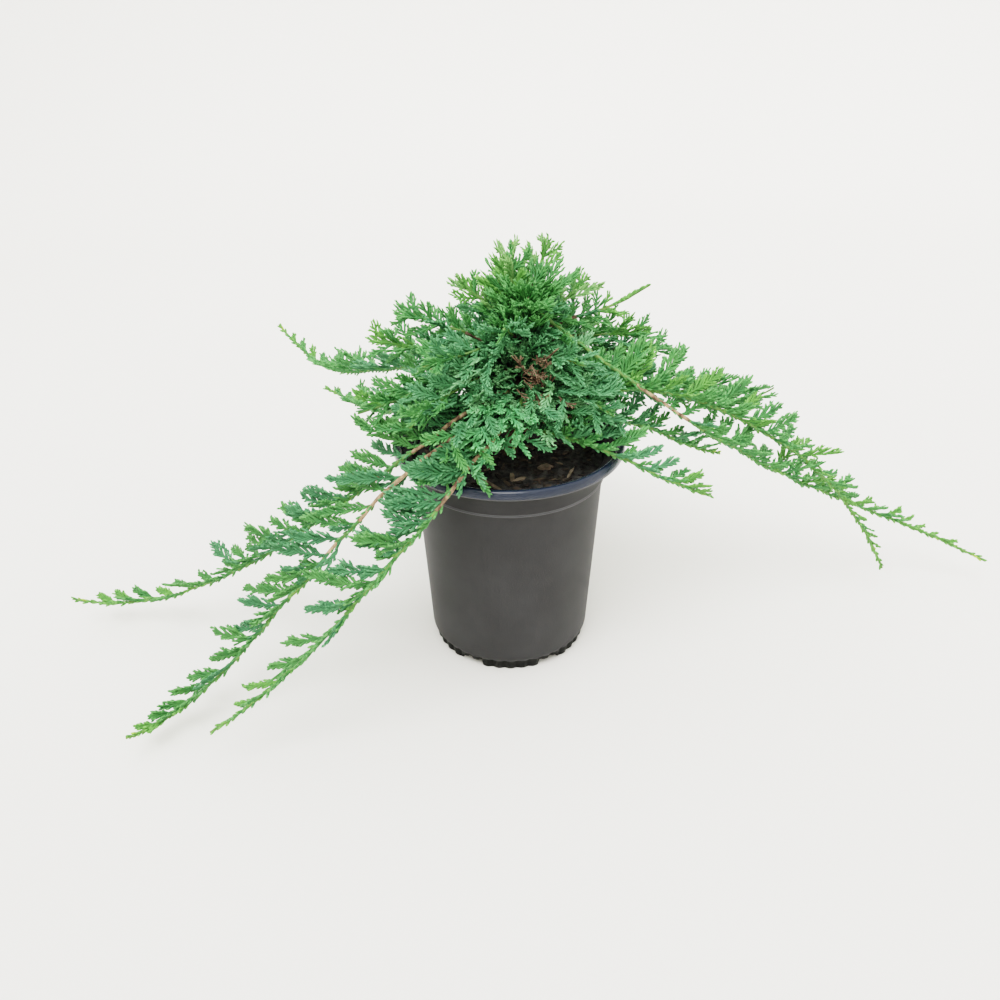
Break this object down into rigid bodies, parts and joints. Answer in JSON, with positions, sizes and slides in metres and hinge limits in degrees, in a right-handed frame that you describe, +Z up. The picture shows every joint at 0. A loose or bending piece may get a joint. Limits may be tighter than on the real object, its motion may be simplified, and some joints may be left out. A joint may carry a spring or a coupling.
{
  "type": "potted creeping juniper",
  "caption": "Low conifer in a round nursery pot: a dense mound of flat scaly sprays, with long leafy shoots that arch over the rim and trail to the sides and the back.",
  "frame": {"origin": "middle of the pot's flat underside", "axes": "+Z up, +X along the longest reach of the trailing shoots, -Y towards the front where the soil shows"},
  "size_m": [0.757, 0.4899, 0.305],
  "materials": {
    "pot": "satin dark grey plastic",
    "soil": "moist dark bark and peat mix",
    "trunk_bark": "rough brown bark",
    "bough_bark": "thin orange-brown bark",
    "foliage": "small overlapping scale leaves, satin"
  },
  "bodies": {
    "root": {"bough_back_left": "bough_bark", "bough_back_middle": "bough_bark", "bough_back_right": "bough_bark", "bough_left_back": "bough_bark", "bough_left_curl": "bough_bark", "bough_left_far": "bough_bark", "bough_left_middle": "bough_bark", "bough_left_near": "bough_bark", "bough_right_far": "bough_bark", "bough_right_low": "bough_bark", "bough_right_rim": "bough_bark", "bough_right_under": "bough_bark", "foliage_back_high": "foliage", "foliage_back_left_inner": "foliage", "foliage_back_left_outer": "foliage", "foliage_back_low": "foliage", "foliage_back_middle_inner": "foliage", "foliage_back_middle_outer": "foliage", "foliage_back_right_inner": "foliage", "foliage_back_right_outer": "foliage", "foliage_back_upper_left": "foliage", "foliage_back_upper_right": "foliage", "foliage_crown_back": "foliage", "foliage_crown_left": "foliage", "foliage_crown_right": "foliage", "foliage_fan_high": "foliage", "foliage_fan_low": "foliage", "foliage_fan_middle": "foliage", "foliage_front_hanging": "foliage", "foliage_front_high": "foliage", "foliage_front_left": "foliage", "foliage_front_right": "foliage", "foliage_front_rim": "foliage", "foliage_front_upper_left": "foliage", "foliage_front_upper_right": "foliage", "foliage_left_back_inner": "foliage", "foliage_left_back_outer": "foliage", "foliage_left_curl": "foliage", "foliage_left_far_inner": "foliage", "foliage_left_far_outer": "foliage", "foliage_left_middle_inner": "foliage", "foliage_left_middle_outer": "foliage", "foliage_left_near_inner": "foliage", "foliage_left_near_outer": "foliage", "foliage_low_left": "foliage", "foliage_middle_left": "foliage", "foliage_middle_right": "foliage", "foliage_right_far_inner": "foliage", "foliage_right_far_outer": "foliage", "foliage_right_low_inner": "foliage", "foliage_right_low_outer": "foliage", "foliage_right_rim": "foliage", "foliage_right_under": "foliage", "foliage_top_left": "foliage", "foliage_top_right": "foliage", "foliage_upper_left": "foliage", "foliage_whip_right": "foliage", "pot": "pot", "soil": "soil", "trunk": "trunk_bark"}
  },
  "joints": []
}
